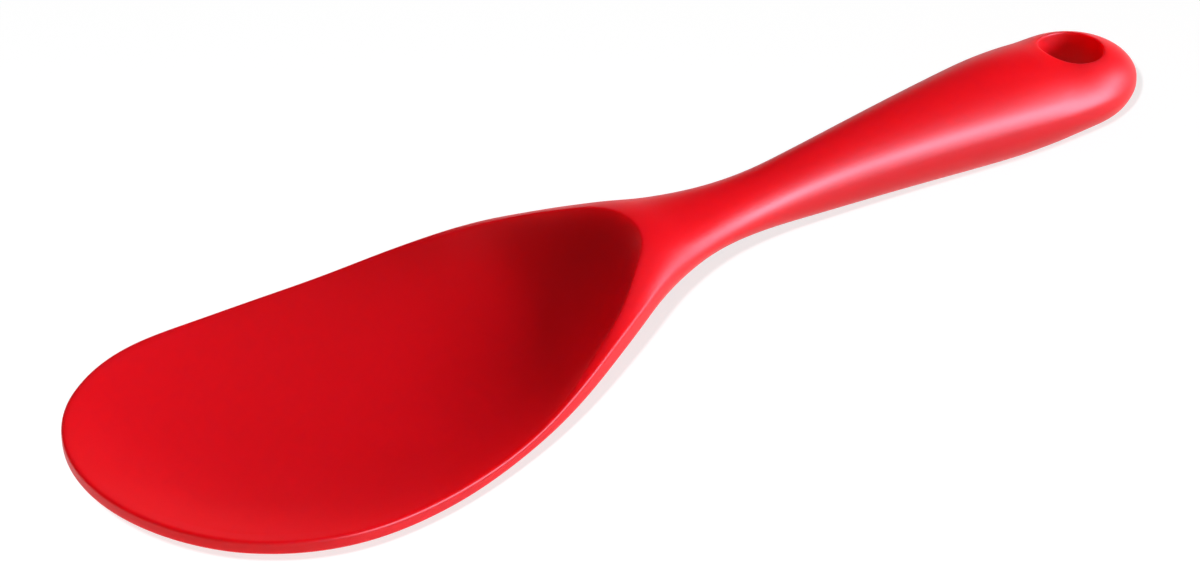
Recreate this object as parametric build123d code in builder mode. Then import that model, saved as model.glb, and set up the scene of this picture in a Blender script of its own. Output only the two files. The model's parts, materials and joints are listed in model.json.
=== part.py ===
from build123d import *
import os
from math import cos, radians, sin

# A silicone rice paddle: one seamless silicone skin moulded over a pressed steel
# blade plate and a nylon handle core. It lies on its belly and the end of its handle.
# X runs from the tip of the blade to the end of the handle, Y is across, Z is up.
# The origin is on the table, under the middle of the paddle. Places along the paddle
# are counted from the tip.

# Paddle as a whole
paddle_length = 225.0
shell_thickness = 2.6
settle = 0.15

# Blade outline, seen from above: half widths at places along the paddle
blade_radius = 35.9
cheek_place = 72.0
cheek_half_width = 30.9
jaw_place = 98.0
jaw_half_width = 20.5
heel_place = 114.0
heel_half_width = 12.6
heel_run_share = 0.45

# Dish of the blade: height of its underside on the centre line and its rise at the sides
tip_lift = 7.8
belly_place = 50.0
dish_overhang = 4.1
dish_half_width = blade_radius + dish_overhang
dish_rise = 6.1
tip_rise = 4.4
cheek_belly = 0.6
cheek_overhang = 5.8
cheek_dish_rise = 8.4
lead_in = 10.0
stock_height = 7.0
cheek_stock = 1.1

# Heel, where the bowl of the blade closes and the neck begins
jaw_belly = 3.6
jaw_level = 12.9
jaw_crown = 18.0
jaw_overhang = 1.6
crest_place = 110.0
crest_half_width = 14.2
crest_belly = 6.4
crest_level = 13.2
crest_height = 18.9

# Neck and handle: half widths, heights of the widest line, and depths above and below it.
# A reach is counted back from the end of the handle.
throat_place = 122.0
throat_half_width = 9.3
throat_level = 12.3
throat_rise = 4.5
throat_sink = 4.5
neck_place = 140.0
neck_half_width = 6.0
neck_level = 10.9
neck_rise = 5.1
neck_sink = 5.0
palm_reach = 29.0
palm_place = paddle_length - palm_reach
palm_half_width = 11.6
palm_level = 8.95
palm_rise = 8.95
palm_sink = 8.95
end_reach = 15.0
end_place = paddle_length - end_reach
end_half_width = 12.2
end_level = 8.3
end_rise = 8.0
end_sink = 8.1
end_drop = 0.8

# Scoop: the hollow of the bowl, whose edge on the heel is the crisp lip
scoop_cheek_place = 86.0
scoop_cheek_half_width = 27.2
scoop_cheek_level = 16.0
scoop_cheek_floor = 4.6
scoop_jaw_half_width = 18.2
scoop_jaw_level = 21.0
scoop_jaw_floor = 6.9
wall_place = 105.5
scoop_wall_half_width = 12.2
scoop_wall_level = 24.0
scoop_wall_floor = 11.3
lip_place = 111.6
scoop_lip_half_width = 8.4
scoop_lip_level = 28.0
scoop_lip_floor = 19.0
scoop_back_place = 117.0
scoop_back_half_width = 6.5
scoop_back_level = 38.0
scoop_back_floor = 30.0
scoop_ceiling = 46.0

# Hanging hole
hole_reach = 13.0
hole_place = paddle_length - hole_reach
hole_radius = 6.1
hole_round = 0.8

# Steel blade plate
plate_thickness = 1.0
plate_margin = 5.0
tang_half_width = 3.0
tang_start = 114.0
tang_reach = 37.0
tang_end = paddle_length - tang_reach
tang_corner = 1.5
plate_jaw_half_width = 20.0
plate_jaw_rise = 7.2
plate_jaw_floor = 4.7
plate_wall_half_width = 16.0
plate_wall_rise = 4.6
plate_wall_floor = 7.6
plate_root_half_width = 12.0
plate_root_rise = 1.0
plate_root_floor = 10.0
key_hole_radius = 2.2
key_hole_spacing = 18.0
key_hole_place = 44.0
key_hole_rows = 3
tang_key_radius = 1.4
tang_key_spacing = 16.0
tang_key_reach = 28.0
tang_key_place = tang_end - tang_key_reach
tang_keys = 2

# Nylon handle core
skin_thickness = 1.9
hole_sleeve = 1.5

# Shares of a section's half width and depth
bow_share = 4 / 3
dished_lean_share = 2 / 3
half_lean_share = 1 / 3
upright_lean_share = 0.0

# Places between the neck and the palm, with each size as a share of the step between them
handle_step_shares = (0.18, 0.54, 0.8)
handle_width_shares = (0.06, 0.43, 0.75)
handle_level_shares = (0.15, 0.41, 0.74)
handle_depth_shares = (0.29, 0.68, 0.91)

# How many sections each loft is drawn through
hull_section_count = 30
scoop_section_count = 18
sheet_section_count = 20
core_section_count = 12

# The round end of the handle, as angles of a quarter turn
end_angles = (20, 38, 54, 68, 80)


def station(place):
    """Return the upright plane across the paddle at a place along it."""
    return Plane(origin=(place - paddle_length / 2, 0, -settle), x_dir=(0, 1, 0), z_dir=(1, 0, 0))


def between(first, last, share):
    """Return the value that lies at a share of the step from first to last."""
    return first + (last - first) * share


def secant(rows, index, column):
    """Return how steeply a column of rows changes from one row to the next."""
    return (rows[index + 1][column] - rows[index][column]) / (rows[index + 1][0] - rows[index][0])


def slope(rows, index, column):
    """Return how steeply a column of rows changes at one row. The last row runs level."""
    if index == len(rows) - 1:
        return 0
    if index == 0:
        return secant(rows, index, column)
    before = rows[index][0] - rows[index - 1][0]
    after = rows[index + 1][0] - rows[index][0]
    return (secant(rows, index - 1, column) * after + secant(rows, index, column) * before) / (before + after)


def blend_rows(rows, place):
    """Return the row at a place, on smooth curves through the rows on either side of it."""
    index = max(i for i in range(len(rows) - 1) if rows[i][0] <= place or i == 0)
    first, last = rows[index], rows[index + 1]
    step = last[0] - first[0]
    share = (place - first[0]) / step
    rest = 1 - share
    blended = [place]
    for column in range(1, len(first)):
        ends = first[column] * rest**2 * (1 + 2 * share) + last[column] * share**2 * (1 + 2 * rest)
        leave = slope(rows, index, column) * step * share * rest**2
        arrive = slope(rows, index + 1, column) * step * share**2 * rest
        blended.append(ends + leave - arrive)
    return blended


def spread(rows, count):
    """Return an even number of rows from the first to the last."""
    return [blend_rows(rows, between(rows[0][0], rows[-1][0], i / (count - 1))) for i in range(count)]


def bow(half_width, level, depth, lean_share):
    """Return the four control points of a curve that bows from one side to the other."""
    inner = half_width * (1 - lean_share)
    peak = level + depth * bow_share
    return [(half_width, level), (inner, peak), (-inner, peak), (-half_width, level)]


def hull_section(place, half_width, level, rise, sink, lean_share=upright_lean_share):
    """Return one closed cross-section of the outside: an upper and a lower bow."""
    with BuildSketch(station(place)) as section:
        with BuildLine():
            Bezier(*bow(half_width, level, rise, lean_share))
            Bezier(*bow(half_width, level, -sink, lean_share))
        make_face()
    return section.sketch


def scoop_section(place, half_width, level, floor, lean_share=upright_lean_share):
    """Return one cross-section of the scoop: a bow below and a straight top above the hull."""
    with BuildSketch(station(place)) as section:
        with BuildLine():
            Bezier(*bow(half_width, level, floor - level, lean_share))
            Polyline(
                (-half_width, level),
                (-half_width, scoop_ceiling),
                (half_width, scoop_ceiling),
                (half_width, level),
            )
        make_face()
    return section.sketch


def sheet_section(place, half_width, level, floor, lean_share=dished_lean_share):
    """Return one cross-section of the pressed plate: two like bows, a plate thickness apart."""
    upper = level + plate_thickness
    with BuildSketch(station(place)) as section:
        with BuildLine():
            Bezier(*bow(half_width, level, floor - level, lean_share))
            Line((-half_width, level), (-half_width, upper))
            Bezier(*bow(half_width, upper, floor - level, lean_share))
            Line((half_width, upper), (half_width, level))
        make_face()
    return section.sketch


def belly_height(place):
    """Return the height of the underside on the centre line, in the front of the blade."""
    return tip_lift * (1 - place / belly_place) ** 2


def dish_rows():
    """List place, half width, side level and belly height of the dish of the blade."""
    rows = []
    for place, rise in ((-lead_in, tip_rise), (blade_radius / 2, between(tip_rise, dish_rise, 0.5))):
        rows.append((place, dish_half_width, belly_height(place) + rise, belly_height(place)))
    rows.append((belly_place, dish_half_width, dish_rise, 0))
    rows.append((cheek_place, cheek_half_width + cheek_overhang, cheek_belly + cheek_dish_rise, cheek_belly))
    return rows


def handle_rows(inset):
    """List place, half width, level, rise and sink from the throat to the end, less an inset."""
    rows = [(throat_place, throat_half_width, throat_level, throat_rise, throat_sink)]
    rows.append((neck_place, neck_half_width, neck_level, neck_rise, neck_sink))
    shares = zip(handle_step_shares, handle_width_shares, handle_level_shares, handle_depth_shares)
    for step, width, level, depth in shares:
        rows.append((
            between(neck_place, palm_place, step),
            between(neck_half_width, palm_half_width, width),
            between(neck_level, palm_level, level),
            between(neck_rise, palm_rise, depth),
            between(neck_sink, palm_sink, depth),
        ))
    rows.append((palm_place, palm_half_width, palm_level, palm_rise, palm_sink))
    rows.append((end_place, end_half_width, end_level, end_rise, end_sink))
    return [(row[0], row[1] - inset, row[2], row[3] - inset, row[4] - inset, upright_lean_share) for row in rows]


def hull_rows():
    """List place, half width, level, rise, sink and lean of the outside, tip to handle end."""
    rows = []
    for place, half_width, level, belly in dish_rows():
        stock = cheek_stock if place == cheek_place else stock_height
        rows.append((place, half_width, level, stock, level - belly, dished_lean_share))
    half_width = jaw_half_width + jaw_overhang
    rise = jaw_crown - jaw_level
    rows.append((jaw_place, half_width, jaw_level, rise, jaw_level - jaw_belly, half_lean_share))
    rise = crest_height - crest_level
    rows.append((crest_place, crest_half_width, crest_level, rise, crest_level - crest_belly, upright_lean_share))
    return rows + handle_rows(0)


def scoop_rows():
    """List place, half width, side level, floor and lean of the scoop, tip to behind the lip."""
    rows = []
    for place, half_width, level, belly in dish_rows():
        raised = level + shell_thickness
        rows.append((place, half_width, raised, belly + shell_thickness, dished_lean_share))
    rows.append((
        scoop_cheek_place, scoop_cheek_half_width, scoop_cheek_level, scoop_cheek_floor, half_lean_share
    ))
    rows.append((jaw_place, scoop_jaw_half_width, scoop_jaw_level, scoop_jaw_floor, upright_lean_share))
    rows.append((wall_place, scoop_wall_half_width, scoop_wall_level, scoop_wall_floor, upright_lean_share))
    rows.append((lip_place, scoop_lip_half_width, scoop_lip_level, scoop_lip_floor, upright_lean_share))
    rows.append((
        scoop_back_place, scoop_back_half_width, scoop_back_level, scoop_back_floor, upright_lean_share
    ))
    return rows


def plate_rows():
    """List place, half width, side level and floor of the underside of the steel plate."""
    lift = (shell_thickness - plate_thickness) / 2
    rows = [(place, half_width, level + lift, belly + lift) for place, half_width, level, belly in dish_rows()]
    rows.append((jaw_place, plate_jaw_half_width, plate_jaw_floor + plate_jaw_rise, plate_jaw_floor))
    rows.append((wall_place, plate_wall_half_width, plate_wall_floor + plate_wall_rise, plate_wall_floor))
    rows.append((tang_start, plate_root_half_width, plate_root_floor + plate_root_rise, plate_root_floor))
    for row in handle_rows(0):
        rows.append((row[0], row[1], row[2] - plate_thickness / 2, row[2] - plate_thickness / 2))
    return rows


def round_end(inset):
    """Return the sections that close the end of the handle, and its last point."""
    reach = paddle_length - end_place - inset
    sections = []
    for angle in end_angles:
        shrink = cos(radians(angle))
        run = sin(radians(angle))
        sections.append(hull_section(
            end_place + reach * run,
            (end_half_width - inset) * shrink,
            end_level - end_drop * run,
            (end_rise - inset) * shrink,
            (end_sink - inset) * shrink,
        ))
    return sections + [Vertex(end_place + reach - paddle_length / 2, 0, end_level - end_drop - settle)]


def blade_plan(margin, last_place, last_half_width):
    """Return the blade seen from above, inside a margin: a round tip, then sides to the heel."""
    tip_radius = blade_radius - margin
    centre = blade_radius - paddle_length / 2
    sides = [(cheek_place, cheek_half_width - margin), (jaw_place, jaw_half_width - margin)]
    sides.append((last_place, last_half_width))
    far = [(place - paddle_length / 2, half_width) for place, half_width in sides]
    near = [(place, -half_width) for place, half_width in far]
    with BuildSketch() as plan:
        with BuildLine():
            CenterArc((centre, 0), tip_radius, 90, 180)
            Spline((centre, tip_radius), *far, tangents=[(1, 0), (1, -heel_run_share)])
            Spline((centre, -tip_radius), *near, tangents=[(1, 0), (1, heel_run_share)])
            Line(far[-1], near[-1])
        make_face()
    return plan.sketch


# The whole outside before the scoop is cut, from the tip to the end of the handle
with BuildPart() as outside:
    loft([hull_section(*row) for row in spread(hull_rows(), hull_section_count)] + round_end(0))

# The hollow of the bowl
with BuildPart() as scoop:
    loft([scoop_section(*row) for row in spread(scoop_rows(), scoop_section_count)])

# The waste around the blade: a slab with the outline of the blade cut out of it
with BuildPart() as waste:
    with BuildSketch():
        with Locations((heel_place - paddle_length / 2, 0)):
            Rectangle(heel_place + dish_half_width, dish_half_width * 3, align=(Align.MAX, Align.CENTER))
    extrude(amount=scoop_ceiling, both=True)
    with BuildSketch():
        add(blade_plan(0, heel_place, heel_half_width))
    extrude(amount=scoop_ceiling, both=True, mode=Mode.SUBTRACT)

# Steel blade plate: a dished sheet, trimmed to the blade less a margin and to its tang,
# with holes that the silicone and the nylon run through to key themselves to it
with BuildPart() as blade_core:
    loft([sheet_section(*row) for row in spread(plate_rows(), sheet_section_count)])
    with BuildSketch():
        add(blade_plan(plate_margin, tang_start, tang_half_width))
        with Locations(((tang_start + tang_end) / 2 - paddle_length / 2, 0)):
            Rectangle(tang_end - tang_start, tang_half_width * 2)
    extrude(amount=scoop_ceiling, both=True, mode=Mode.INTERSECT)
    fillet(blade_core.edges().filter_by(Axis.Z).group_by(Axis.X)[-1], tang_corner)
    with BuildSketch():
        with Locations((key_hole_place - paddle_length / 2, 0)):
            with GridLocations(key_hole_spacing, key_hole_spacing, key_hole_rows, key_hole_rows):
                Circle(key_hole_radius)
        with Locations((tang_key_place - paddle_length / 2, 0)):
            with GridLocations(tang_key_spacing, 0, tang_keys, 1):
                Circle(tang_key_radius)
    extrude(amount=scoop_ceiling, both=True, mode=Mode.SUBTRACT)

# The room inside the handle, with an eye left closed round the hanging hole
with BuildPart() as core_room:
    core_stations = spread(handle_rows(skin_thickness), core_section_count)
    loft([hull_section(*row) for row in core_stations] + round_end(skin_thickness))
    with BuildSketch():
        with Locations((hole_place - paddle_length / 2, 0)):
            Circle(hole_radius + hole_sleeve)
    extrude(amount=scoop_ceiling, both=True, mode=Mode.SUBTRACT)

# Nylon handle core, moulded round the tang
with BuildPart() as handle_core:
    add(core_room.part)
    add(blade_core.part, mode=Mode.SUBTRACT)

# Silicone skin, moulded over both cores, with its underside flat where it lies on the table
with BuildPart() as silicone_skin:
    add(outside.part)
    with BuildSketch():
        with Locations((hole_place - paddle_length / 2, 0)):
            Circle(hole_radius)
    extrude(amount=scoop_ceiling, both=True, mode=Mode.SUBTRACT)
    hole_wall = silicone_skin.faces().filter_by(GeomType.CYLINDER)
    fillet(hole_wall.edges().filter_by(GeomType.LINE, reverse=True), hole_round)
    add(waste.part, mode=Mode.SUBTRACT)
    add(scoop.part, mode=Mode.SUBTRACT)
    split(bisect_by=Plane.XY, keep=Keep.TOP)
    add(blade_core.part, mode=Mode.SUBTRACT)
    add(core_room.part, mode=Mode.SUBTRACT)

os.makedirs("parts", exist_ok=True)
silicone_skin.part.label = "silicone_skin"
export_step(silicone_skin.part, "parts/silicone_skin.step")
blade_core.part.label = "blade_core"
export_step(blade_core.part, "parts/blade_core.step")
handle_core.part.label = "handle_core"
export_step(handle_core.part, "parts/handle_core.step")
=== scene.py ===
"""A red silicone rice paddle lying on a white sweep: its looks, light and camera.

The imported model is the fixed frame. The silicone skin is modelled here as one smooth piece
with rounded edges and stands for its CAD solid. The steel plate and the nylon core stay as
the CAD made them, inside it, and get their finishes. All places are in the frame's metres,
except inside PaddleForm and SkinCage, which work in millimetres from the tip of the blade.
"""

import json
import logging
import math
from collections.abc import Callable
from dataclasses import dataclass, field
from enum import Enum

import bmesh
import bpy
from mathutils import Matrix, Quaternion, Vector

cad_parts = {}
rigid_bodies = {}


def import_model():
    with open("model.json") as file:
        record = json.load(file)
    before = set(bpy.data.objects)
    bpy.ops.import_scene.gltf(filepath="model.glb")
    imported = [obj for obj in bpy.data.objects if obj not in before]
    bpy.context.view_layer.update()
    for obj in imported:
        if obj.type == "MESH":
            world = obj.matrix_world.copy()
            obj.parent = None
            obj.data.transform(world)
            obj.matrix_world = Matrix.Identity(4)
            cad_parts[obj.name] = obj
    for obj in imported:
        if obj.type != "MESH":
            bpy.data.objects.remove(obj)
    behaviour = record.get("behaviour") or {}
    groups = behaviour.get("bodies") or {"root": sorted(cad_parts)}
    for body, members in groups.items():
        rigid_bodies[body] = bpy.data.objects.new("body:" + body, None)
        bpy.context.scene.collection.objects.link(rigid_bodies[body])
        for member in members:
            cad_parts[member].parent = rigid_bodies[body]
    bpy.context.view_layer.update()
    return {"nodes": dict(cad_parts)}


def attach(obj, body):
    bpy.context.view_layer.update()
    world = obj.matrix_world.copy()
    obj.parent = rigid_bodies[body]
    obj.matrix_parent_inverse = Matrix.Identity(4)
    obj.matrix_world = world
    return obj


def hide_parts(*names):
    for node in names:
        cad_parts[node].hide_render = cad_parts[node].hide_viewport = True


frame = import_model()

log = logging.getLogger("rice_paddle")

MM = 0.001
HALVINGS = 36
SIDE_POINTS = 5
PURE_WHITE = "#FFFFFF"
Row = tuple[float, ...]
Point = tuple[float, float]
Tree = bpy.types.NodeTree
Socket = bpy.types.NodeSocket

# Sockets of a Mix node, which repeats its few names for each type of value.
MIX_FACTOR = 0
FLOAT_A, FLOAT_B, FLOAT_RESULT = 2, 3, 0
COLOUR_A, COLOUR_B, COLOUR_RESULT = 6, 7, 2


class Body(Enum):
    """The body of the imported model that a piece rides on."""

    ROOT = "root"


class Slot(Enum):
    """The record's material slot for the silicone, which the new skin is not given."""

    SKIN = "red_silicone"


class Light(Enum):
    """What a lamp gives: light on matt surfaces, or a highlight in glossy ones."""

    MATT = "matt"
    GLOSS = "gloss"


# Form of the paddle


def between(first: float, last: float, share: float) -> float:
    """Return the value that lies at a share of the step from first to last."""
    return first + (last - first) * share


def ease(value: float, start: float, stop: float) -> float:
    """Return 0 before start, 1 after stop and a smooth rise between them."""
    share = min(max((value - start) / (stop - start), 0.0), 1.0)
    return share * share * (3 - 2 * share)


def soft_min(first: float, second: float, blend: float) -> float:
    """Return the smaller value, rounded off where the two are closer than the blend."""
    gap = max(blend - abs(first - second), 0.0) / blend
    return min(first, second) - gap * gap * blend / 4


def last_that_holds(low: float, high: float, holds: Callable[[float], bool]) -> float:
    """Find by halving where a test stops holding.

    Args:
        low: A value for which it holds.
        high: A larger value, for which it may not.
        holds: The test.

    Returns:
        The last value for which it holds.
    """
    for _ in range(HALVINGS):
        middle = (low + high) / 2
        if holds(middle):
            low = middle
        else:
            high = middle
    return low


def smooth_curve(first: Point, last: Point, slopes: Point, place: float) -> float:
    """Return the height at a place of a smooth curve that joins two points.

    Args:
        first: Place and height where it starts.
        last: Place and height where it ends.
        slopes: Its slopes at the two.
        place: Where it is measured.

    Returns:
        The height.
    """
    step = last[0] - first[0]
    share = min((place - first[0]) / step, 1.0)
    rest = 1 - share
    ends = first[1] * rest**2 * (1 + 2 * share) + last[1] * share**2 * (1 + 2 * rest)
    return ends + (slopes[0] * rest - slopes[1] * share) * step * share * rest


@dataclass(frozen=True)
class KeyRows:
    """Rows of cross-section sizes, each after its place, with smooth curves between them."""

    rows: tuple[Row, ...]

    def secant(self, index: int, column: int) -> float:
        """Return how steeply a column changes from one row to the next."""
        here, there = self.rows[index], self.rows[index + 1]
        return (there[column] - here[column]) / (there[0] - here[0])

    def slope(self, index: int, column: int) -> float:
        """Return how steeply a column changes at one row.

        Args:
            index: The row.
            column: The column.

        Returns:
            The slope there, or 0 at the last row.
        """
        if index == len(self.rows) - 1:
            return 0.0
        if index == 0:
            return self.secant(0, column)
        before = self.rows[index][0] - self.rows[index - 1][0]
        after = self.rows[index + 1][0] - self.rows[index][0]
        weighed = self.secant(index - 1, column) * after + self.secant(index, column) * before
        return weighed / (before + after)

    def at(self, place: float) -> Row:
        """Return the sizes at a place.

        Args:
            place: Distance from the tip.

        Returns:
            The row's sizes without its place.
        """
        index = max((i for i in range(len(self.rows) - 1) if self.rows[i][0] <= place), default=0)
        first, last = self.rows[index], self.rows[index + 1]
        sizes = []
        for column in range(1, len(first)):
            slopes = (self.slope(index, column), self.slope(index + 1, column))
            ends = ((first[0], first[column]), (last[0], last[column]))
            sizes.append(smooth_curve(*ends, slopes, place))
        return tuple(sizes)


@dataclass(frozen=True)
class Bow:
    """A curve that bows from one side of the paddle to the other.

    Its height falls with the square of its turn, from the full depth on the centre line,
    turn 0, to nothing at the side, turn 1.

    Args:
        half_width: Distance from the centre line to the side.
        level: Height of its two ends.
        depth: Height of its middle above them, or minus that.
        lean: 2/3 for a parabola, less for steeper sides, 0 for nearly an ellipse.
    """

    half_width: float
    level: float
    depth: float
    lean: float

    def reach(self, turn: float) -> float:
        """Return the distance from the centre line at a turn."""
        tilt = 3 - 3 * self.lean
        return self.half_width * ((3 + tilt) * turn + (1 - tilt) * turn**3) / 4

    def turn(self, across: float) -> float:
        """Return the turn at a distance from the centre line."""
        return last_that_holds(0.0, 1.0, lambda turn: self.reach(turn) < across)

    def rise(self, turn: float) -> float:
        """Return the height at a turn."""
        return self.level + self.depth * (1 - turn**2)

    def point(self, place: float, turn: float) -> Vector:
        """Return the point at a turn, for the bow of a place."""
        return Vector((place, self.reach(turn), self.rise(turn)))

    def height(self, across: float) -> float:
        """Return the height at a distance from the centre line."""
        return self.rise(self.turn(across))

    def reach_at_height(self, height: float) -> float:
        """Return the distance from the centre line at a height."""
        share = min(max(1 - (height - self.level) / self.depth, 0.0), 1.0)
        return self.reach(math.sqrt(share))


@dataclass(frozen=True)
class PaddleForm:
    """The shape of the paddle as heights over its plan, in millimetres from the tip.

    Args:
        settle: How far the whole is lowered to rest on the table.
        outline: Half width and slope of the blade's trimmed side, up to the handle's start.
        end_place: Where the domed end starts, whose middle sinks by end_drop.
        hull: Half width, level, rise, sink and lean of the outside.
        scoop: Half width, level, floor and lean of the scoop.
    """

    length: float = 225.0
    settle: float = 0.15
    blade_radius: float = 35.9
    outline: tuple[Row, ...] = (
        (35.9, 35.9, 0.0),
        (72.0, 30.9, -0.2826),
        (98.0, 20.5, -0.4943),
        (114.0, 12.6, -0.45),
    )
    handle_start: float = 114.0
    trim_blend: float = 0.8
    end_place: float = 210.0
    end_drop: float = 0.8
    end_least: float = 1e-4
    hole_place: float = 212.0
    hole_radius: float = 6.1
    hull: KeyRows = KeyRows((
        (-10.0, 40.0, 15.632, 7.0, 4.4, 2 / 3),
        (17.95, 40.0, 8.454, 7.0, 5.25, 2 / 3),
        (50.0, 40.0, 6.1, 7.0, 6.1, 2 / 3),
        (72.0, 36.7, 9.0, 1.1, 8.4, 2 / 3),
        (98.0, 22.1, 12.9, 5.1, 9.3, 1 / 3),
        (110.0, 14.2, 13.2, 5.65, 6.8, 0.0),
        (122.0, 9.3, 12.3, 4.5, 4.5, 0.0),
        (140.0, 6.0, 10.9, 5.1, 5.0, 0.0),
        (150.08, 6.336, 10.6075, 6.2165, 6.1455, 0.0),
        (170.24, 8.408, 10.1005, 7.718, 7.686, 0.0),
        (184.8, 10.2, 9.457, 8.6035, 8.5945, 0.0),
        (196.0, 11.6, 8.95, 8.95, 8.95, 0.0),
        (210.0, 12.2, 8.3, 7.6, 7.7, 0.0),
    ))
    scoop: KeyRows = KeyRows((
        (-10.0, 40.0, 18.232, 13.832, 2 / 3),
        (17.95, 40.0, 11.054, 5.804, 2 / 3),
        (50.0, 40.0, 8.7, 2.6, 2 / 3),
        (72.0, 36.7, 11.6, 3.2, 2 / 3),
        (86.0, 26.6, 16.0, 4.6, 1 / 3),
        (98.0, 18.2, 21.0, 6.9, 0.0),
        (105.5, 12.2, 24.0, 11.3, 0.0),
        (111.6, 8.4, 28.0, 19.0, 0.0),
        (117.0, 6.5, 38.0, 30.0, 0.0),
    ))

    def hull_row(self, place: float) -> Row:
        """Return the sizes of the outside at a place.

        Args:
            place: Distance from the tip.

        Returns:
            Half width, level, rise, sink and lean.
        """
        if place <= self.end_place:
            return self.hull.at(place)
        half_width, level, rise, sink, lean = self.hull.at(self.end_place)
        run = min((place - self.end_place) / (self.length - self.end_place), 1.0)
        shrink = max(math.sqrt(1 - run * run), self.end_least)
        return half_width * shrink, level - self.end_drop * run, rise * shrink, sink * shrink, lean

    def crown(self, place: float) -> Bow:
        """Return the upper curve of the outside at a place."""
        half_width, level, rise, _, lean = self.hull_row(place)
        return Bow(half_width, level, rise, lean)

    def belly(self, place: float) -> Bow:
        """Return the lower curve of the outside at a place."""
        half_width, level, _, sink, lean = self.hull_row(place)
        return Bow(half_width, level, -sink, lean)

    def hollow(self, place: float) -> Bow:
        """Return the floor of the scoop at a place."""
        half_width, level, floor, lean = self.scoop.at(place)
        return Bow(half_width, level, floor - level, lean)

    def hollow_height(self, place: float, across: float) -> float:
        """Return the height of the scoop's floor.

        Args:
            place: Distance from the tip.
            across: Distance from the centre line.

        Returns:
            The height, or one far above the paddle outside the scoop.
        """
        bow = self.hollow(place)
        if place > self.scoop.rows[-1][0] or across >= bow.half_width:
            return self.length
        return bow.height(across)

    def plan_edge(self, place: float) -> float:
        """Return the half width of the blade's trimmed side at a place behind its round end."""
        first, last = [p for p in zip(self.outline, self.outline[1:]) if p[0][0] <= place][-1]
        return smooth_curve(first[:2], last[:2], (first[2], last[2]), place)

    def edge(self, place: float) -> float:
        """Return the half width of the silhouette.

        Args:
            place: Distance from the tip.

        Returns:
            The half width.
        """
        half_width = self.hull_row(place)[0]
        if place <= self.blade_radius:
            behind = self.blade_radius - place
            return math.sqrt(max(self.blade_radius**2 - behind**2, 0.0))
        if place >= self.handle_start:
            return half_width
        return soft_min(self.plan_edge(place), half_width, self.trim_blend)

    def top(self, place: float, across: float) -> float:
        """Return the height of the upper side: the scoop's floor, or the crown beside it."""
        return min(self.crown(place).height(across), self.hollow_height(place, across))


# Mesh of the skin


def even_run(points: list[Vector], count: int) -> list[Vector]:
    """Return points at even distances along a line of points.

    Args:
        points: The line, from end to end.
        count: How many steps it is divided into.

    Returns:
        count + 1 points, the ends among them.
    """
    lengths = [0.0]
    for here, there in zip(points, points[1:]):
        lengths.append(lengths[-1] + (there - here).length)
    run = []
    index = 0
    for step in range(count + 1):
        target = lengths[-1] * step / count
        while index < len(points) - 2 and lengths[index + 1] < target:
            index += 1
        span = lengths[index + 1] - lengths[index]
        share = min((target - lengths[index]) / span, 1.0)
        run.append(points[index].lerp(points[index + 1], share))
    return run


def centre_line(start: float, stop: float, side: list[Point]) -> list[Point]:
    """Return points on the centre line from start to stop, spaced as those of a side are."""
    reach = (stop - start) / (side[-1][0] - side[0][0])
    return [(start + (place - side[0][0]) * reach, 0.0) for place, _ in side]


def spanned_grid(
    near: list[Point], far: list[Point], left: list[Point], right: list[Point]
) -> list[list[Point]]:
    """Span a grid over four sides in a plane of two coordinates.

    Args:
        near: The side where rows start, from left to right.
        far: The side opposite it, from left to right.
        left: The side from near to far on the left.
        right: The side from near to far on the right.

    Returns:
        Rows from near to far, each from left to right.
    """
    rows = []
    for i in range(len(left)):
        up = i / (len(left) - 1)
        row = []
        for j in range(len(near)):
            over = j / (len(near) - 1)
            point = []
            for axis in (0, 1):
                sides = between(near[j][axis], far[j][axis], up)
                sides += between(left[i][axis], right[i][axis], over)
                low = between(near[0][axis], near[-1][axis], over)
                high = between(far[0][axis], far[-1][axis], over)
                point.append(sides - between(low, high, up))
            row.append((point[0], point[1]))
        rows.append(row)
    return rows


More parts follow.
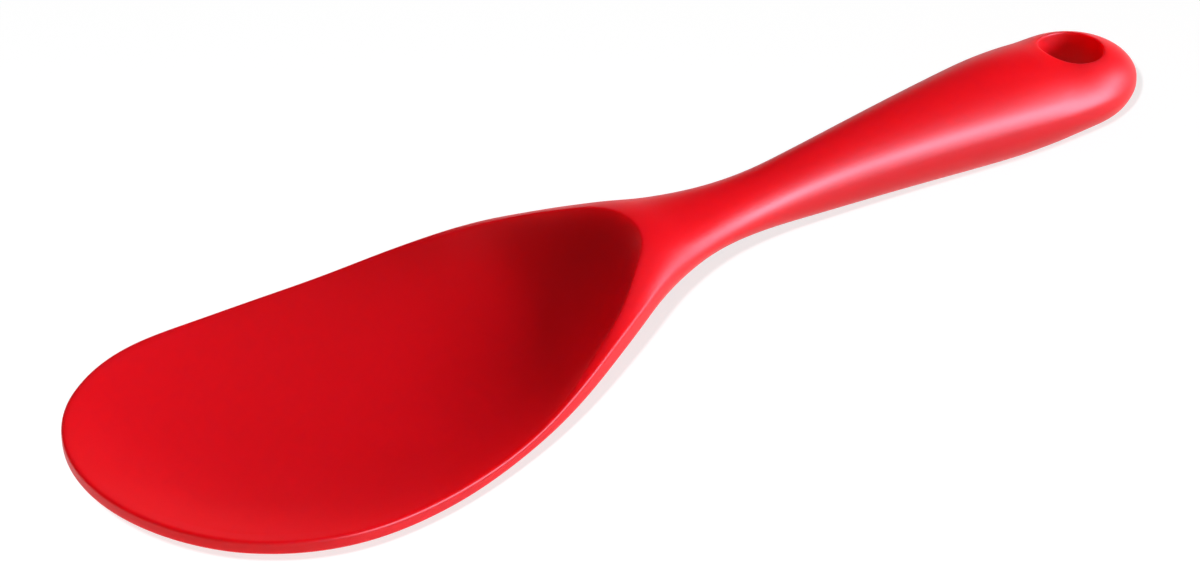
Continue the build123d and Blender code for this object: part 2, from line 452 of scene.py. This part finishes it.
@dataclass
class SkinCage:
    """The control mesh of one half of the skin, whose subdivision is the smooth surface.

    Loops of points run round the rim from the tip, station by station. Two close loops on
    either side of a corner hold its rounding, and they spread out where it fades away.
    Lengths are in millimetres and angles in degrees, and places are counted from the tip.

    Args:
        tip_steps: Steps round the front of the tip, and across the neck's top and bottom.
        tip_angle: How far round the tip these steps reach.
        end_turn: Angle round the hole where the steps of the handle's end start.
        land: Width of the band of loops inside the rim, which narrows to lip_land.
        hold: Distance of a holding loop from the lip or the hole's mouth.
        round_hold: The same from the rim's softer corners, or deck_hold on its upper side.
        deck_shares: The most of the deck's width for the loops that hold the lip and the rim,
            and the share for the latter on the neck.
        corner_turn: Turn of the outside's curves at the rim's corners.
        soft_places: Where the rim's corners fade into the neck.
        lip_run: Step along the lip for a step along the rim, from lip_start.
        bore_holds: How many holds deep the last loop in the hole lies.
    """

    form: PaddleForm = field(default_factory=PaddleForm)
    tip_steps: int = 8
    tip_angle: float = 50.0
    round_angles: tuple[float, ...] = (60.0, 70.0, 80.0, 90.0)
    side_places: tuple[float, ...] = (
        42.0, 48.0, 54.0, 60.0, 66.0, 72.0, 78.0, 84.0, 89.5, 95.0, 100.5, 106.0, 112.5, 120.0
    )
    tube_places: tuple[float, ...] = (
        126.0, 133.0, 141.0, 149.0, 158.0, 167.0, 176.0, 185.0, 194.0, 202.0
    )
    end_steps: int = 10
    end_turn: float = 100.0
    land: float = 3.0
    lip_land: float = 1.3
    land_places: tuple[float, float] = (60.0, 84.0)
    hold: float = 0.6
    round_hold: float = 0.9
    deck_hold: float = 1.5
    hold_share: float = 0.36
    deck_shares: tuple[float, float, float] = (0.2, 0.5, 0.34)
    corner_turn: float = 0.9
    belly_turn: float = 0.78
    soft_places: tuple[float, float] = (98.0, 118.0)
    lip_blend: float = 2.4
    lip_start: float = 78.0
    lip_run: float = 0.695
    lip_search: tuple[float, float] = (100.0, 116.0)
    probe: float = 0.4
    eye_reach: float = 2.6
    mouth_samples: int = 40
    mouth_steps: int = 4
    bore_holds: float = 5.0
    merge: float = 0.002

    def build(self) -> bmesh.types.BMesh:
        """Build the cage of both halves.

        Returns:
            A closed mesh.
        """
        self.cage = bmesh.new()
        self.measure_rim()
        self.lay_rim()
        self.lay_floor()
        self.lay_belly()
        self.lay_tube()
        self.lay_eye()
        bmesh.ops.remove_doubles(self.cage, verts=self.cage.verts, dist=self.merge)
        half = self.cage.verts[:] + self.cage.edges[:] + self.cage.faces[:]
        bmesh.ops.mirror(self.cage, geom=half, axis="Y", merge_dist=self.merge)
        bmesh.ops.recalc_face_normals(self.cage, faces=self.cage.faces)
        return self.cage

    def lay(self, rows: list[list[Vector]]) -> None:
        """Lay a sheet of faces: a chain of edges, extruded from each row to the next.

        Args:
            rows: The sheet's points, in rows of the same length.
        """
        chain = [self.cage.verts.new(point) for point in rows[0]]
        edges = [self.cage.edges.new(pair) for pair in zip(chain, chain[1:])]
        for row in rows[1:]:
            grown = bmesh.ops.extrude_edge_only(self.cage, edges=edges)["geom"]
            edges = [part for part in grown if isinstance(part, bmesh.types.BMEdge)]
            fresh = {part for part in grown if isinstance(part, bmesh.types.BMVert)}
            chain = [
                next(end for edge in vert.link_edges if (end := edge.other_vert(vert)) in fresh)
                for vert in chain
            ]
            for vert, point in zip(chain, row):
                vert.co = point

    def measure_rim(self) -> None:
        """Find the outline's stations, the lip and the loops on either side of it."""
        form = self.form
        angles = [self.tip_angle * step / self.tip_steps for step in range(self.tip_steps + 1)]
        angles += self.round_angles
        self.outline: list[Point] = []
        self.inward: list[Point] = []
        for angle in angles:
            turn = math.radians(angle)
            away = (math.cos(turn), -math.sin(turn))
            self.outline.append((form.blade_radius * (1 - away[0]), -form.blade_radius * away[1]))
            self.inward.append(away)
        for place in self.side_places:
            self.outline.append((place, form.edge(place)))
            self.inward.append((0.0, -1.0))
        self.neck = len(self.outline) - 1
        self.lip: list[Point] = []
        for (place, across), away in zip(self.outline, self.inward):
            land = self.rim_land(place)
            inner = (place + away[0] * land, across + away[1] * land)
            if place > self.lip_start:
                lip_place = self.lip_start + (place - self.lip_start) * self.lip_run
                within = form.edge(lip_place) - self.rim_land(lip_place)
                inner = (lip_place, soft_min(self.lip_across(lip_place), within, self.lip_blend))
            self.lip.append(inner)
        last = self.lip[-1][1]
        for step in range(1, self.tip_steps + 1):
            across = last * (1 - step / self.tip_steps)
            self.lip.append((self.lip_place(across), across))

    def rim_land(self, place: float) -> float:
        """Return how far inside the rim the loop of the lip runs at a place."""
        return between(self.land, self.lip_land, ease(place, *self.land_places))

    def scooped(self, place: float, across: float) -> bool:
        """Return whether the scoop's floor lies below the outside's upper curve."""
        return self.form.hollow_height(place, across) < self.form.crown(place).height(across)

    def lip_across(self, place: float) -> float:
        """Return how far the lip is from the centre line at a place."""
        edge = self.form.edge(place)
        return last_that_holds(0.0, edge, lambda across: self.scooped(place, across))

    def lip_place(self, across: float) -> float:
        """Return the place where the lip crosses a line along the paddle."""
        return last_that_holds(*self.lip_search, lambda place: self.scooped(place, across))

    def softness(self, place: float) -> float:
        """Return how far the rim's corners have faded into the round neck at a place."""
        return ease(place, *self.soft_places)

    def side_points(self, place: float, across: float) -> list[Vector]:
        """Return the points of the loops down the side at a station.

        Args:
            place: The station's place.
            across: Half width of the outline there.

        Returns:
            Upper corner, two holds, lower corner and hold on the belly, from the top down.
        """
        form = self.form
        crown, belly = form.crown(place), form.belly(place)
        corner = min(across, crown.reach(self.corner_turn))
        upper = min(crown.height(corner), form.hollow_height(place, corner))
        corner = min(across, belly.reach(self.corner_turn))
        lower = belly.height(corner)
        hold = min(self.round_hold, (upper - lower) * self.hold_share)
        points = []
        for height in (upper, upper - hold, lower + hold, lower):
            bow = crown if height > crown.level else belly
            points.append(Vector((place, min(bow.reach_at_height(height), across), height)))
        spread = across - belly.reach(self.belly_turn)
        inset = between(self.round_hold, spread, self.softness(place))
        points.append(Vector((place, across - inset, belly.height(across - inset))))
        return points

    def tip_side_points(self, station: int) -> list[Vector]:
        """Return the points of the loops down the side on the round of the tip.

        Args:
            station: The station's number.

        Returns:
            The same points as side_points gives.
        """
        form = self.form
        place, across = self.outline[station]
        away = self.inward[station]
        upper = form.hollow_height(place, across)
        lower = form.belly(place).height(across)
        hold = self.round_hold
        heights = (upper, upper - hold, lower + hold, lower)
        points = [Vector((place, across, height)) for height in heights]
        inner = (place + away[0] * hold, across + away[1] * hold)
        points.append(Vector((inner[0], inner[1], form.belly(inner[0]).height(inner[1]))))
        return points

    def lip_inside(self, index: int) -> Point:
        """Return the holding point on the scoop's side of the lip.

        Args:
            index: The station's number.

        Returns:
            Its place and its distance from the centre line.
        """
        before = self.lip[max(index - 1, 0)]
        after = self.lip[min(index + 1, len(self.lip) - 1)]
        along = Vector((after[0] - before[0], after[1] - before[1]))
        if index == 0:
            along = Vector((0.0, 1.0))
        if index == len(self.lip) - 1:
            along = Vector((0.0, -1.0))
        along.normalize()
        away = Vector((along[1], -along[0]))
        here = self.lip[index]
        probe = self.probe
        level = self.form.hollow_height(*here)
        beyond = self.form.hollow_height(here[0] + away[0] * probe, here[1] + away[1] * probe)
        if level > self.form.length / 2:
            level = beyond
        steep = (level - beyond) / probe
        inset = self.hold / math.sqrt(1 + steep * steep)
        return here[0] + away[0] * inset, max(here[1] + away[1] * inset, 0.0)

    def lay_rim(self) -> None:
        """Lay the band round the blade from the scoop's floor over the lip and down the side."""
        form = self.form
        rows = []
        self.floor_loop: list[Point] = []
        self.side_loops: list[list[Vector]] = []
        for index, lip in enumerate(self.lip):
            inside = self.lip_inside(index)
            self.floor_loop.append(inside)
            row = [Vector((inside[0], inside[1], form.hollow_height(*inside)))]
            if index <= self.neck:
                place, across = self.outline[index]
                if place <= form.blade_radius:
                    side = self.tip_side_points(index)
                else:
                    side = self.side_points(place, across)
                self.side_loops.append(side)
                outer = side[0]
            else:
                turn = self.corner_turn * (len(self.lip) - 1 - index) / self.tip_steps
                place = self.side_places[-1]
                outer = form.crown(place).point(place, turn)
            row += self.across_deck(lip, outer)
            rows.append(row)
        self.lay(rows)
        self.lay(self.side_loops)

    def across_deck(self, lip: Point, outer: Vector) -> list[Vector]:
        """Return the points from the lip outwards to the outline or to the neck.

        Args:
            lip: The point on the lip.
            outer: The point on the outline or the neck.

        Returns:
            Points from the lip to the outer one.
        """
        form = self.form
        width = math.hypot(outer.x - lip[0], outer.y - lip[1])
        spread = self.softness(outer.x)
        most_near, most_far, neck_far = self.deck_shares
        near = min(self.hold / width, most_near)
        far = between(min(self.deck_hold / width, most_far), neck_far, spread)
        middle = between(near, 1 - far, 0.5)
        points = []
        for share in (0.0, near, middle, 1 - far):
            place = between(lip[0], outer.x, share)
            across = between(lip[1], outer.y, share)
            if lip[0] > self.lip_start:
                start, stop = form.crown(lip[0]).turn(lip[1]), form.crown(outer.x).turn(outer.y)
                across = form.crown(place).reach(between(start, stop, share))
            points.append(Vector((place, across, form.top(place, across))))
        return points + [outer]

    def lay_floor(self) -> None:
        """Lay the floor of the scoop inside the rim's innermost loop."""
        form = self.form
        loop = [(place, form.hollow(place).turn(across)) for place, across in self.floor_loop]
        tip = loop[: self.tip_steps + 1]
        side = loop[self.tip_steps : self.neck + 1]
        lip = loop[self.neck :][::-1]
        grid = spanned_grid(tip, lip, centre_line(tip[0][0], lip[0][0], side), side)
        self.lay([[form.hollow(place).point(place, turn) for place, turn in row] for row in grid])

    def lay_belly(self) -> None:
        """Lay the underside of the blade, from the tip to the neck."""
        form = self.form
        loop = [(side[-1].x, form.belly(side[-1].x).turn(side[-1].y)) for side in self.side_loops]
        tip = loop[: self.tip_steps + 1]
        side = loop[self.tip_steps :]
        last = side[-1]
        neck = [(last[0], last[1] * step / self.tip_steps) for step in range(self.tip_steps + 1)]
        grid = spanned_grid(tip, neck, centre_line(tip[0][0], neck[0][0], side), side)
        self.lay([[form.belly(place).point(place, turn) for place, turn in row] for row in grid])

    def half_section(self, place: float) -> list[Vector]:
        """Return half the cross-section of the neck or handle.

        Args:
            place: Its place.

        Returns:
            Points from the top round to the bottom.
        """
        crown, belly, count = self.form.crown(place), self.form.belly(place), self.tip_steps
        upper = [crown.point(place, self.corner_turn * step / count) for step in range(count)]
        side = self.side_points(place, self.form.edge(place))
        last = belly.turn(side[-1].y)
        lower = [belly.point(place, last * (1 - step / count)) for step in range(1, count + 1)]
        return upper + side + lower

    def lay_tube(self) -> None:
        """Lay the neck and the handle up to the eye of the hanging hole."""
        places = (self.side_places[-1],) + self.tube_places
        self.sections = [self.half_section(place) for place in places]
        self.lay(self.sections)

    def surface_reach(self, angle: float, height: float) -> Vector:
        """Return a point of the surface of the handle's end.

        Args:
            angle: Angle round the hole.
            height: Height over the level of the section there.

        Returns:
            The point.
        """
        form = self.form

        def inside(reach: float) -> bool:
            """Tell whether a point is inside the handle.

            Args:
                reach: Its distance from the hole's centre.

            Returns:
                Whether it is.
            """
            place = form.hole_place + reach * math.cos(angle)
            if place >= form.length:
                return False
            bow = form.crown(place) if height > 0 else form.belly(place)
            if abs(height) >= abs(bow.depth):
                return False
            return reach * math.sin(angle) < bow.reach_at_height(bow.level + height)

        reach = last_that_holds(form.hole_radius, self.eye_reach * form.hole_radius, inside)
        place = min(form.hole_place + reach * math.cos(angle), form.length)
        return Vector((place, reach * math.sin(angle), form.crown(place).level + height))

    def lay_eye(self) -> None:
        """Lay the end of the handle round the hanging hole."""
        form = self.form
        last = self.sections[-1]
        top = last[: self.tip_steps + 1]
        side = last[self.tip_steps : self.tip_steps + SIDE_POINTS]
        bottom = last[self.tip_steps + SIDE_POINTS - 1 :][::-1]
        level = form.crown(side[0].x).level
        heights = [point.z - level for point in side]
        start = math.atan2(side[0].y, side[0].x - form.hole_place)
        loops = [side]
        for step in range(1, self.end_steps + 1):
            angle = start * (1 - step / self.end_steps)
            loops.append([self.surface_reach(angle, height) for height in heights])
        self.lay(loops)
        outer_top = top + [loop[0] for loop in loops[1:]]
        outer_bottom = bottom + [loop[-1] for loop in loops[1:]]
        split = math.radians(self.end_turn)
        angles = [between(math.pi, split, step / self.tip_steps) for step in range(self.tip_steps)]
        angles += [between(split, 0.0, step / self.end_steps) for step in range(self.end_steps + 1)]
        rows = []
        for angle, upper, lower in zip(angles, outer_top, outer_bottom):
            row = self.mouth_run(angle, upper, form.crown)
            row += self.mouth_run(angle, lower, form.belly)[::-1]
            rows.append(row)
        for point in rows[0] + rows[-1]:
            point.y = 0.0
        self.lay(rows)

    def mouth_run(self, angle: float, outer: Vector, side: Callable[[float], Bow]) -> list[Vector]:
        """Return the points from an outer loop in to the hole and over its rounded mouth.

        Args:
            angle: Where the run meets the hole.
            outer: The point that it starts from.
            side: The form's crown or belly.

        Returns:
            Points from the outer one to the holding loop inside the hole.
        """
        form = self.form
        away = Vector((math.cos(angle), math.sin(angle)))
        centre = Vector((form.hole_place, 0.0))
        mouth = centre + away * (form.hole_radius + self.hold)
        line = [outer.copy()]
        for step in range(1, self.mouth_samples + 1):
            spot = outer.xy.lerp(mouth, step / self.mouth_samples)
            line.append(Vector((spot.x, spot.y, side(spot.x).height(spot.y))))
        run = even_run(line, self.mouth_steps)
        corner = centre + away * form.hole_radius
        height = side(corner.x).height(corner.y)
        run.append(Vector((corner.x, corner.y, height)))
        sign = 1 if side(corner.x).depth > 0 else -1
        for holds in (1.0, self.bore_holds):
            run.append(Vector((corner.x, corner.y, height - sign * self.hold * holds)))
        return run


# Finishes


def linear(colour: str) -> Row:
    """Turn an sRGB hex colour into linear values with full alpha."""
    parts = (int(colour[i : i + 2], 16) / 255 for i in (1, 3, 5))
    return *(v / 12.92 if v <= 0.04045 else ((v + 0.055) / 1.055) ** 2.4 for v in parts), 1.0


def add_node(
    tree: Tree, kind: str, settings: dict | None = None, **links: Socket
) -> bpy.types.Node:
    """Add a node with its settings and links.

    Args:
        tree: The node tree.
        kind: Type name of the node.
        settings: Values of the node's properties, or of its input sockets by name.
        **links: Output sockets, each linked to the input whose name has spaces for underscores.

    Returns:
        The new node.
    """
    node = tree.nodes.new(kind)
    for name, value in (settings or {}).items():
        if name in node.inputs:
            node.inputs[name].default_value = value
        else:
            setattr(node, name, value)
    for name, socket in links.items():
        tree.links.new(socket, node.inputs[name.replace("_", " ")])
    return node


def seen_plainly(tree: Tree) -> Socket:
    """Add nodes that tell whether a ray shows a thing plainly.

    Args:
        tree: The node tree.

    Returns:
        1 for a ray from the camera, from a gloss or through a clear surface, else 0.
    """
    path = add_node(tree, "ShaderNodeLightPath")
    total = path.outputs["Is Camera Ray"]
    for kind in ("Is Glossy Ray", "Is Transmission Ray"):
        joined = add_node(tree, "ShaderNodeMath", {"operation": "MAXIMUM"})
        tree.links.new(total, joined.inputs[0])
        tree.links.new(path.outputs[kind], joined.inputs[1])
        total = joined.outputs["Value"]
    return total


@dataclass(frozen=True)
class Finish:
    """A material with an empty node tree, which each finish fills."""

    name: str

    def material(self) -> bpy.types.Material:
        """Make the material.

        Returns:
            The finished material.
        """
        made = bpy.data.materials.new(self.name)
        made.use_nodes = True
        made.node_tree.nodes.clear()
        shader = self.shade(made.node_tree)
        add_node(made.node_tree, "ShaderNodeOutputMaterial", Surface=shader)
        return made

    def shade(self, tree: Tree) -> Socket:
        """Fill the tree and return the shader's output, which each finish does its own way."""
        raise NotImplementedError


@dataclass(frozen=True)
class MouldedSilicone(Finish):
    """Platinum-cured silicone rubber from a fine-blasted mould.

    The eye sees a deep even red, a soft wide highlight without sharp reflections, light that
    bleeds through thin edges, and a grain so fine that it only breaks the highlight.

    Args:
        bleed: Share of the light that goes under the surface, by about bleed_mm.
        bleed_of_colours: How far red, green and blue go there, as shares of that.
    """

    name: str = "moulded_red_silicone"
    red: str = "#E90718"
    deep_red: str = "#DF0412"
    ior: float = 1.41
    roughness: float = 0.42
    uneven: tuple[float, float] = (-0.04, 0.05)
    specular: float = 0.36
    bleed: float = 0.85
    bleed_mm: float = 6.5
    bleed_of_colours: tuple[float, float, float] = (1.0, 0.12, 0.1)
    grain_mm: float = 0.45
    grain_depth_mm: float = 0.02
    grain_strength: float = 0.12
    grain_detail: float = 3.0
    cloud_mm: float = 30.0
    cloud_detail: float = 2.0

    def shade(self, tree: Tree) -> Socket:
        """Fill the node tree.

        Args:
            tree: The material's tree.

        Returns:
            The shader's output.
        """
        where = add_node(tree, "ShaderNodeTexCoord").outputs["Object"]
        cloud = add_node(
            tree, "ShaderNodeTexNoise",
            {"Scale": 1 / (self.cloud_mm * MM), "Detail": self.cloud_detail}, Vector=where,
        )
        colour = add_node(tree, "ShaderNodeMix", {"data_type": "RGBA"})
        tree.links.new(cloud.outputs["Fac"], colour.inputs["Factor"])
        colour.inputs[COLOUR_A].default_value = linear(self.red)
        colour.inputs[COLOUR_B].default_value = linear(self.deep_red)
        # The blasting grain is about a tenth of this size; it is drawn coarser so that it shows.
        grain = add_node(
            tree, "ShaderNodeTexNoise",
            {"Scale": 1 / (self.grain_mm * MM), "Detail": self.grain_detail}, Vector=where,
        )
        low, high = (self.roughness + part for part in self.uneven)
        rough = add_node(
            tree, "ShaderNodeMapRange", {"To Min": low, "To Max": high}, Value=cloud.outputs["Fac"]
        )
        bump = add_node(
            tree, "ShaderNodeBump",
            {"Strength": self.grain_strength, "Distance": self.grain_depth_mm * MM},
            Height=grain.outputs["Fac"],
        )
        skin = add_node(
            tree, "ShaderNodeBsdfPrincipled",
            {
                "IOR": self.ior,
                "Specular IOR Level": self.specular,
                "Subsurface Weight": self.bleed,
                "Subsurface Radius": self.bleed_of_colours,
                "Subsurface Scale": self.bleed_mm * MM,
            },
            Base_Color=colour.outputs[COLOUR_RESULT],
            Roughness=rough.outputs["Result"],
            Normal=bump.outputs["Normal"],
        )
        return skin.outputs["BSDF"]


@dataclass(frozen=True)
class PressedStainless(Finish):
    """Stainless steel sheet as rolled: a cool grey with fine lines along the paddle."""

    name: str = "rolled_stainless_sheet"
    steel: str = "#B9BABC"
    line_mm: float = 0.4
    line_detail: float = 2.0
    squeeze: float = 0.02
    roughness: tuple[float, float] = (0.26, 0.42)

    def shade(self, tree: Tree) -> Socket:
        """Fill the node tree.

        Args:
            tree: The material's tree.

        Returns:
            The shader's output.
        """
        where = add_node(tree, "ShaderNodeTexCoord").outputs["Object"]
        stretched = add_node(
            tree, "ShaderNodeMapping", {"Scale": (self.squeeze, 1.0, 1.0)}, Vector=where
        )
        lines = add_node(
            tree, "ShaderNodeTexNoise",
            {"Scale": 1 / (self.line_mm * MM), "Detail": self.line_detail},
            Vector=stretched.outputs["Vector"],
        )
        low, high = self.roughness
        rough = add_node(
            tree, "ShaderNodeMapRange", {"To Min": low, "To Max": high}, Value=lines.outputs["Fac"]
        )
        metal = add_node(
            tree, "ShaderNodeBsdfPrincipled",
            {"Base Color": linear(self.steel), "Metallic": 1.0},
            Roughness=rough.outputs["Result"],
        )
        return metal.outputs["BSDF"]


@dataclass(frozen=True)
class MouldedNylon(Finish):
    """Natural nylon as it leaves the mould: milky, with a faint uneven gloss."""

    name: str = "moulded_natural_nylon"
    cream: str = "#DDD6C4"
    ior: float = 1.53
    roughness: tuple[float, float] = (0.4, 0.52)
    bleed: float = 0.1
    bleed_mm: float = 1.0
    cloud_mm: float = 6.0
    cloud_detail: float = 2.0

    def shade(self, tree: Tree) -> Socket:
        """Fill the node tree.

        Args:
            tree: The material's tree.

        Returns:
            The shader's output.
        """
        where = add_node(tree, "ShaderNodeTexCoord").outputs["Object"]
        cloud = add_node(
            tree, "ShaderNodeTexNoise",
            {"Scale": 1 / (self.cloud_mm * MM), "Detail": self.cloud_detail}, Vector=where,
        )
        low, high = self.roughness
        rough = add_node(
            tree, "ShaderNodeMapRange", {"To Min": low, "To Max": high}, Value=cloud.outputs["Fac"]
        )
        plastic = add_node(
            tree, "ShaderNodeBsdfPrincipled",
            {
                "Base Color": linear(self.cream),
                "IOR": self.ior,
                "Subsurface Weight": self.bleed,
                "Subsurface Scale": self.bleed_mm * MM,
            },
            Roughness=rough.outputs["Result"],
        )
        return plastic.outputs["BSDF"]


@dataclass(frozen=True)
class PaperSweep(Finish):
    """White paper, which the camera sees nearly full white and which keeps a pale shadow.

    Args:
        glow: Share of it that is seen as an even light, of this brightness.
    """

    name: str = "white_paper_sweep"
    white: str = "#FCFCFC"
    glow: float = 0.65
    brightness: float = 1.17

    def shade(self, tree: Tree) -> Socket:
        """Fill the node tree.

        Args:
            tree: The material's tree.

        Returns:
            The shader's output.
        """
        paper = add_node(tree, "ShaderNodeBsdfDiffuse", {"Color": linear(self.white)})
        light = add_node(
            tree, "ShaderNodeEmission", {"Color": linear(PURE_WHITE), "Strength": self.brightness}
        )
        share = add_node(tree, "ShaderNodeMath", {"operation": "MULTIPLY"})
        tree.links.new(seen_plainly(tree), share.inputs[0])
        share.inputs[1].default_value = self.glow
        seen = add_node(tree, "ShaderNodeMixShader")
        tree.links.new(share.outputs["Value"], seen.inputs[0])
        tree.links.new(paper.outputs["BSDF"], seen.inputs[1])
        tree.links.new(light.outputs["Emission"], seen.inputs[2])
        return seen.outputs["Shader"]


# Pieces


@dataclass
class SiliconeSkin:
    """The seamless silicone skin: blade, bowl, neck, handle and hanging hole."""

    cage: SkinCage = field(default_factory=SkinCage)
    finish: Finish = field(default_factory=MouldedSilicone)
    levels: int = 2

    def build(self) -> bpy.types.Object:
        """Build the skin and put it in the place of its CAD solid.

        Returns:
            The new object.
        """
        form = self.cage.form
        made = self.cage.build()
        place = Matrix.Scale(MM, 4) @ Matrix.Translation((-form.length / 2, 0, -form.settle))
        bmesh.ops.transform(made, matrix=place, verts=made.verts)
        for vert in made.verts:
            vert.co.z = max(vert.co.z, 0.0)
        for face in made.faces:
            face.smooth = True
        mesh = bpy.data.meshes.new("silicone_overmould")
        made.to_mesh(mesh)
        made.free()
        piece = bpy.data.objects.new("silicone_overmould", mesh)
        bpy.context.scene.collection.objects.link(piece)
        smooth = piece.modifiers.new("smooth", "SUBSURF")
        smooth.levels = self.levels
        smooth.render_levels = self.levels
        smooth.boundary_smooth = "ALL"
        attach(piece, Body.ROOT.value)
        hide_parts("silicone_skin")
        log.info("skin: %d cage faces", len(mesh.polygons))
        return piece

    def dress(self, piece: bpy.types.Object) -> None:
        """Give the skin its silicone finish."""
        piece.data.materials.append(self.finish.material())


@dataclass
class HiddenCores:
    """The steel plate and the nylon core inside the skin."""

    finishes: dict[str, Finish] = field(
        default_factory=lambda: {"blade_core": PressedStainless(), "handle_core": MouldedNylon()}
    )

    def dress(self) -> None:
        """Give each core's slots its own finish."""
        for node, finish in self.finishes.items():
            made = finish.material()
            for slot in frame["nodes"][node].material_slots:
                slot.material = made
            log.info("core %s: %s", node, made.name)


@dataclass(frozen=True)
class Lamp:
    """A soft rectangular lamp that faces the paddle, in metres and watts."""

    name: str
    place: tuple[float, float, float]
    size: tuple[float, float]
    power: float
    light: Light = Light.MATT
    tint: str = PURE_WHITE

    def hang(self, lit: bpy.types.Collection) -> None:
        """Hang the lamp in the scene.

        Args:
            lit: The objects that it lights.
        """
        light = bpy.data.lights.new(self.name, "AREA")
        light.shape = "RECTANGLE"
        light.size, light.size_y = self.size
        light.energy = self.power
        light.color = linear(self.tint)[:3]
        lamp = bpy.data.objects.new(self.name, light)
        lamp.location = self.place
        lamp.visible_glossy = self.light is not Light.MATT
        lamp.visible_diffuse = self.light is not Light.GLOSS
        lamp.light_linking.receiver_collection = lit
        lamp.rotation_euler = Vector(self.place).to_track_quat("Z", "Y").to_euler()
        bpy.context.scene.collection.objects.link(lamp)


@dataclass
class Studio:
    """A white sweep under a dim ceiling, with a main lamp from beyond the handle's end.

    A faint low fill from beyond the tip lifts the walls of the bowl. A strip in front draws the
    highlight along the near side of the handle, and a wider lamp over its end spreads that
    highlight on the neck. One more lamp lights the paper alone, and throws the paddle's
    short pale shadow on it.

    Args:
        ambient: Brightness of the world for matt surfaces.
        ceiling: Brightness of the world in a gloss, from the height ceiling_start up.
    """

    sweep_size: float = 6.0
    ambient: float = 0.13
    ceiling: float = 0.02
    ceiling_start: float = 0.12
    lamps: tuple[Lamp, ...] = (
        Lamp("main", (1.0, -0.62, 0.59), (0.76, 0.46), 22.2),
        Lamp("top", (0.15, 0.4, 1.1), (0.3, 0.3), 2.7),
        Lamp("fill", (-0.85, 0.7, 0.14), (0.5, 0.2), 0.3),
        Lamp("strip", (0.55, -1.0, 0.2), (0.8, 0.34), 45.0, Light.GLOSS, "#FFE2FF"),
        Lamp("neck", (1.02, -0.55, 0.42), (0.7, 0.5), 20.0, Light.GLOSS, "#FFE2FF"),
    )
    paper_lamp: Lamp = Lamp("shadow", (-0.669, -0.718, 0.853), (0.06, 0.06), 17.0)

    def build(self) -> None:
        """Lay the sweep, hang the lamps and light the world."""
        paddle = bpy.data.collections.new("paddle_lit")
        for piece in bpy.context.scene.objects:
            if piece.type == "MESH":
                paddle.objects.link(piece)
        made = bmesh.new()
        bmesh.ops.create_grid(made, x_segments=1, y_segments=1, size=self.sweep_size / 2)
        mesh = bpy.data.meshes.new("paper_sweep")
        made.to_mesh(mesh)
        made.free()
        mesh.materials.append(PaperSweep().material())
        sweep = bpy.data.objects.new("paper_sweep", mesh)
        bpy.context.scene.collection.objects.link(sweep)
        paper = bpy.data.collections.new("paper_lit")
        paper.objects.link(sweep)
        for lamp in self.lamps:
            lamp.hang(paddle)
        self.paper_lamp.hang(paper)
        self.light_world()

    def light_world(self) -> None:
        """Light the world, which the camera sees white, and a gloss only near the floor."""
        world = bpy.data.worlds.new("studio")
        bpy.context.scene.world = world
        world.use_nodes = True
        tree = world.node_tree
        tree.nodes.clear()
        direction = add_node(tree, "ShaderNodeTexCoord").outputs["Generated"]
        parts = add_node(tree, "ShaderNodeSeparateXYZ", Vector=direction)
        backdrop = add_node(
            tree, "ShaderNodeMapRange",
            {"From Max": self.ceiling_start, "To Min": 1.0, "To Max": self.ceiling},
            Value=parts.outputs["Z"],
        )
        path = add_node(tree, "ShaderNodeLightPath")
        glossy = add_node(tree, "ShaderNodeMix", {"data_type": "FLOAT"})
        tree.links.new(seen_plainly(tree), glossy.inputs[MIX_FACTOR])
        glossy.inputs[FLOAT_A].default_value = self.ambient
        tree.links.new(backdrop.outputs["Result"], glossy.inputs[FLOAT_B])
        plain = add_node(tree, "ShaderNodeMix", {"data_type": "FLOAT"})
        tree.links.new(path.outputs["Is Camera Ray"], plain.inputs[MIX_FACTOR])
        tree.links.new(glossy.outputs[FLOAT_RESULT], plain.inputs[FLOAT_A])
        plain.inputs[FLOAT_B].default_value = 1.0
        sky = add_node(
            tree, "ShaderNodeBackground", {"Color": linear(PURE_WHITE)},
            Strength=plain.outputs[FLOAT_RESULT],
        )
        add_node(tree, "ShaderNodeOutputWorld", Surface=sky.outputs["Background"])


@dataclass
class PhotoCamera:
    """The photograph's viewpoint, a long lens looking down along the paddle.

    Angles are in degrees, and the focal length and the sensor's width in millimetres.

    Args:
        heading: How far the view is turned from +Y towards +X.
        elevation: How far above the table the camera stands.
        roll: How far the camera leans to its left.
        shift: Shift of the frame, in frame widths.
    """

    heading: float = 35.19
    elevation: float = 33.98
    distance: float = 1.0468
    lens: float = 177.75
    sensor: float = 36.0
    roll: float = -1.89
    shift: tuple[float, float] = (-0.0298, -0.0117)
    target: tuple[float, float, float] = (0.0, 0.0, 0.005)
    sight: float = 20.0

    def build(self) -> None:
        """Set up the camera and make it the scene's."""
        turn, tilt = math.radians(self.heading), math.radians(self.elevation)
        level = math.cos(tilt)
        look = Vector((math.sin(turn) * level, math.cos(turn) * level, -math.sin(tilt)))
        data = bpy.data.cameras.new("photo")
        data.lens = self.lens
        data.sensor_width = self.sensor
        data.shift_x, data.shift_y = self.shift
        data.clip_end = self.sight
        camera = bpy.data.objects.new("photo", data)
        camera.location = Vector(self.target) - look * self.distance
        upright = look.to_track_quat("-Z", "Y")
        lean = Quaternion((0, 0, 1), math.radians(self.roll))
        camera.rotation_euler = (upright @ lean).to_euler()
        bpy.context.scene.collection.objects.link(camera)
        bpy.context.scene.camera = camera


def main() -> None:
    """Build the pieces in order."""
    logging.basicConfig(level=logging.INFO, format="%(name)s: %(message)s")
    bpy.context.scene.view_settings.view_transform = "Standard"
    skin = SiliconeSkin()
    skin.dress(skin.build())
    HiddenCores().dress()
    Studio().build()
    PhotoCamera().build()


if __name__ == "__main__":
    main()
